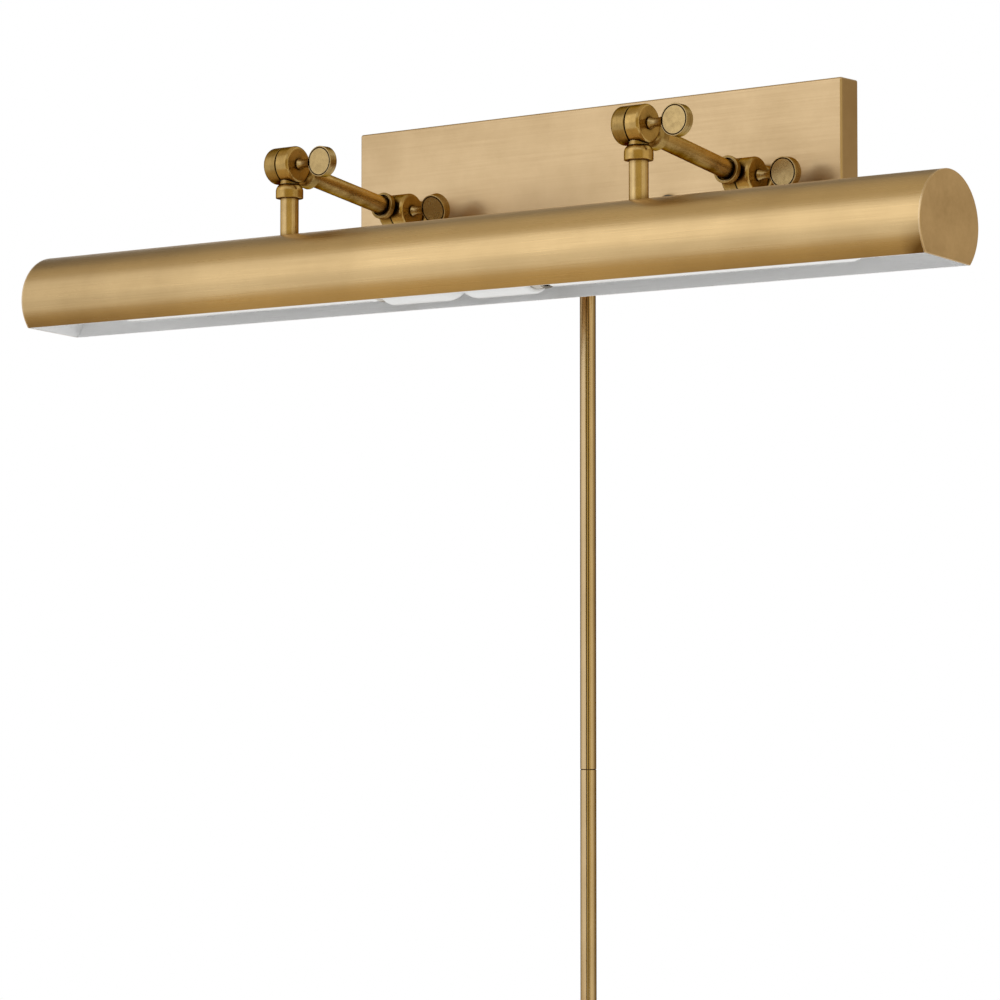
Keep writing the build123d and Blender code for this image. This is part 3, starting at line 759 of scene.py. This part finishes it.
# %% [markdown]
# Plastic and glass
#
# Lamp holders and the terminal block are moulded in white plastic, the switch in black, the
# washers are fibre and the cord bushing is rubber. All have a faint grain, so one function makes
# them. The lamps are opal glass. Glass with a milky inside would be slow to render, and no light
# comes through it here, so they are made the same way, with a smoother skin.

# %% Plastic and glass
grain_shade = 0.9
grain_roughness = 0.06
grain_bump = 0.05
grain_depth = 0.0001


def plastic(name, colour, roughness, grain):
    """Moulded plastic with a fine grain."""
    material, tree, shader, place = start(name)
    grey = noise(tree, place, grain, detail=3.0)
    darker = tuple(channel * grain_shade for channel in colour)
    smoother, rougher = roughness - grain_roughness, roughness + grain_roughness
    link(tree, mix(tree, grey, darker, colour), shader.inputs["Base Color"])
    link(tree, ramp(tree, grey, 0, 1, smoother, rougher), shader.inputs["Roughness"])
    emboss(tree, shader, grey, grain_bump, grain_depth)
    return material


white_plastic = plastic("white plastic", (0.86, 0.86, 0.85), 0.35, 900)
black_plastic = plastic("black plastic", (0.012, 0.012, 0.012), 0.5, 900)
fibre = plastic("fibre", (0.05, 0.04, 0.03), 0.8, 1500)
rubber = plastic("rubber", (0.03, 0.03, 0.03), 0.7, 1200)
opal = plastic("opal glass", (0.93, 0.93, 0.92), 0.2, 60)
dress(white_plastic, *pair("lamp_holder"), "terminal_block")
dress(black_plastic, "switch_housing", "switch_rocker")
dress(fibre, *pair("lower_washer", "upper_washer"))
dress(rubber, "cord_bushing")
dress(opal, *pair("bulb_glass"))
print("plastics", white_plastic.name, black_plastic.name, fibre.name, rubber.name, opal.name)

# %% [markdown]
# Steel and nickel
#
# The bracket, the nuts and the screws are plated steel, and the lamp bases and socket rings are
# nickel. They could have a function of their own, but plating shows the same fine lines, dull
# corners and bright edges as brass, so it is the brass function with grey colours.

# %% Steel and nickel
steel = brass(
    "plated steel", cast, clean=(0.60, 0.61, 0.62), dark=(0.3, 0.3, 0.3),
    bright=(0.75, 0.75, 0.75), size=80,
)
nickel = brass(
    "nickel", along_x, clean=(0.64, 0.60, 0.54), dark=(0.25, 0.2, 0.15),
    bright=(0.8, 0.78, 0.74), size=120, rough=(0.18, 0.28),
)
dress(steel, "mounting_bracket", "plate_screws", "lamp_hanger")
dress(steel, *pair("stem_nut", "nipple_nut", "wall_nipple"))
dress(nickel, *pair("socket_ring", "bulb_base"))
undressed = [
    name for name, node in nodes.items()
    if not node.data.materials or node.data.materials[0] is None
]
print("without a finish", undressed)

# %% [markdown]
# Small screws
#
# CAD gives the plate screws their size and place, without a driver recess. The recess could be
# drawn on as a dark mark, but a real cut also catches the light. One screw is shaped here, with
# its shank drawn out of the head, and copied: a pair with crossed slots stands for the plate
# screws, and six with one slot sit in the terminal block.

# %% Choose faces and cut a slot
level_cosine = 0.9


def choose_faces(thing, way):
    """Select the faces of a mesh that look up (1) or down (-1)."""
    bpy.ops.object.mode_set(mode="EDIT")
    bpy.ops.mesh.select_mode(type="FACE")
    bpy.ops.mesh.select_all(action="DESELECT")
    bpy.ops.object.mode_set(mode="OBJECT")
    for face in thing.data.polygons:
        face.select = face.normal.z * way > level_cosine
    bpy.ops.object.mode_set(mode="EDIT")


def cut_slot(screw, length, width, depth, height, turn):
    """Cut one driver slot across the head of a screw."""
    bpy.ops.mesh.primitive_cube_add(size=1, location=(0, 0, height), rotation=(0, 0, turn))
    blade = bpy.context.object
    blade.scale = (length, width, depth)
    slot = screw.modifiers.new("slot", "BOOLEAN")
    slot.object = blade
    bpy.context.view_layer.objects.active = screw
    bpy.ops.object.modifier_apply(modifier=slot.name)
    bpy.data.objects.remove(blade)


print("helpers", [helper.__name__ for helper in (choose_faces, cut_slot)])

# %% Shape a screw
screw_sides = 32
head_round_share = 1 / 4
long_slot_share = 2.4
crossed_slot_share = 1.2
slot_width_share = 1 / 3


def shape_screw(name, radius, height, shank_radius, shank_length, slots, material):
    """A screw that looks up, its head standing on the origin, with one slot or two crossed ones."""
    bpy.ops.object.select_all(action="DESELECT")
    bpy.ops.mesh.primitive_cylinder_add(
        vertices=screw_sides, radius=radius, depth=height, location=(0, 0, height / 2)
    )
    screw = bpy.context.object
    screw.name = name
    bpy.ops.object.transform_apply(location=True, rotation=False, scale=False)
    choose_faces(screw, 1)
    bpy.ops.mesh.bevel(offset=height * head_round_share, segments=3)
    choose_faces(screw, -1)
    bpy.ops.mesh.inset(thickness=radius - shank_radius)
    bpy.ops.mesh.extrude_region_move(TRANSFORM_OT_translate={"value": (0, 0, -shank_length)})
    bpy.ops.object.mode_set(mode="OBJECT")
    slot_length = radius * (long_slot_share if slots == 1 else crossed_slot_share)
    for index in range(slots):
        cut_slot(screw, slot_length, radius * slot_width_share, height, height, index * pi / 2)
    screw.data.materials.clear()
    screw.data.materials.append(material)
    return screw


print("screw sides", screw_sides)

# %% Copy a screw
def copy_screw(screw, places, turn):
    """Copies of a screw at places, joined as one piece that rides on the wall side."""
    copies = []
    for place in places:
        copy = screw.copy()
        copy.data = screw.data.copy()
        bpy.context.collection.objects.link(copy)
        copy.rotation_euler = turn
        copy.location = place
        copies.append(copy)
    bpy.ops.object.select_all(action="DESELECT")
    for copy in copies:
        copy.select_set(True)
    bpy.context.view_layer.objects.active = copies[0]
    bpy.ops.object.transform_apply(location=True, rotation=True, scale=True)
    bpy.ops.object.join()
    copies[0].name = screw.name + "s"
    bpy.data.objects.remove(screw)
    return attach(copies[0], "wall")


print("helper", copy_screw.__name__)

# %% [markdown]
# Place the screws
#
# The plate screws come up from below, so they are turned over, and their heads take the place
# that CAD gives them. The terminal screws sit on the floors of the block's round holes, three
# ways in two rows, and look to the wall. Places could be typed in as numbers, but they are worked
# out from the boxes of the CAD pieces, so they follow when a size changes there.

# %% Plate screws
heads_low, heads_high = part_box("plate_screws")
head_radius, head_height = 0.00375, 0.0024
thread_radius = 0.002
thread_length = heads_high[2] - heads_low[2] - head_height
heads_y = (heads_low[1] + heads_high[1]) / 2
plate_screw = shape_screw(
    "plate_screw", head_radius, head_height, thread_radius, thread_length, 2, steel
)
plate_screws = copy_screw(
    plate_screw,
    [
        (x, heads_y, heads_low[2] + head_height)
        for x in (heads_low[0] + head_radius, heads_high[0] - head_radius)
    ],
    (pi, 0, 0),
)
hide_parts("plate_screws")
print("screws", plate_screws.name)

# %% Terminal screws
block_low, block_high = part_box("terminal_block")
block_middle = [(low + high) / 2 for low, high in zip(block_low, block_high)]
ways, rows = 3, 2
way_pitch = (block_high[0] - block_low[0]) / ways
row_pitch = (block_high[2] - block_low[2]) / rows
hole_depth = 0.006
hole_floor = block_high[1] - hole_depth
clamp_radius, clamp_height = 0.0018, 0.0016
shank_radius, shank_length = 0.0012, 0.0014
terminal_screw = shape_screw(
    "terminal_screw", clamp_radius, clamp_height, shank_radius, shank_length, 1, nickel
)
terminal_screws = copy_screw(
    terminal_screw,
    [
        (
            block_middle[0] + (way - (ways - 1) / 2) * way_pitch,
            hole_floor + shank_length,
            block_middle[2] + (row - (rows - 1) / 2) * row_pitch,
        )
        for way in range(ways)
        for row in range(rows)
    ],
    (-pi / 2, 0, 0),
)
print("screws", terminal_screws.name)

# %% [markdown]
# Finish
#
# A view with a film-like curve would soften the whites, so Blender's plain view is chosen, which
# shows the colours as they are written.

# %% Finish
scene.view_settings.view_transform = "Standard"
print("view", scene.view_settings.view_transform)
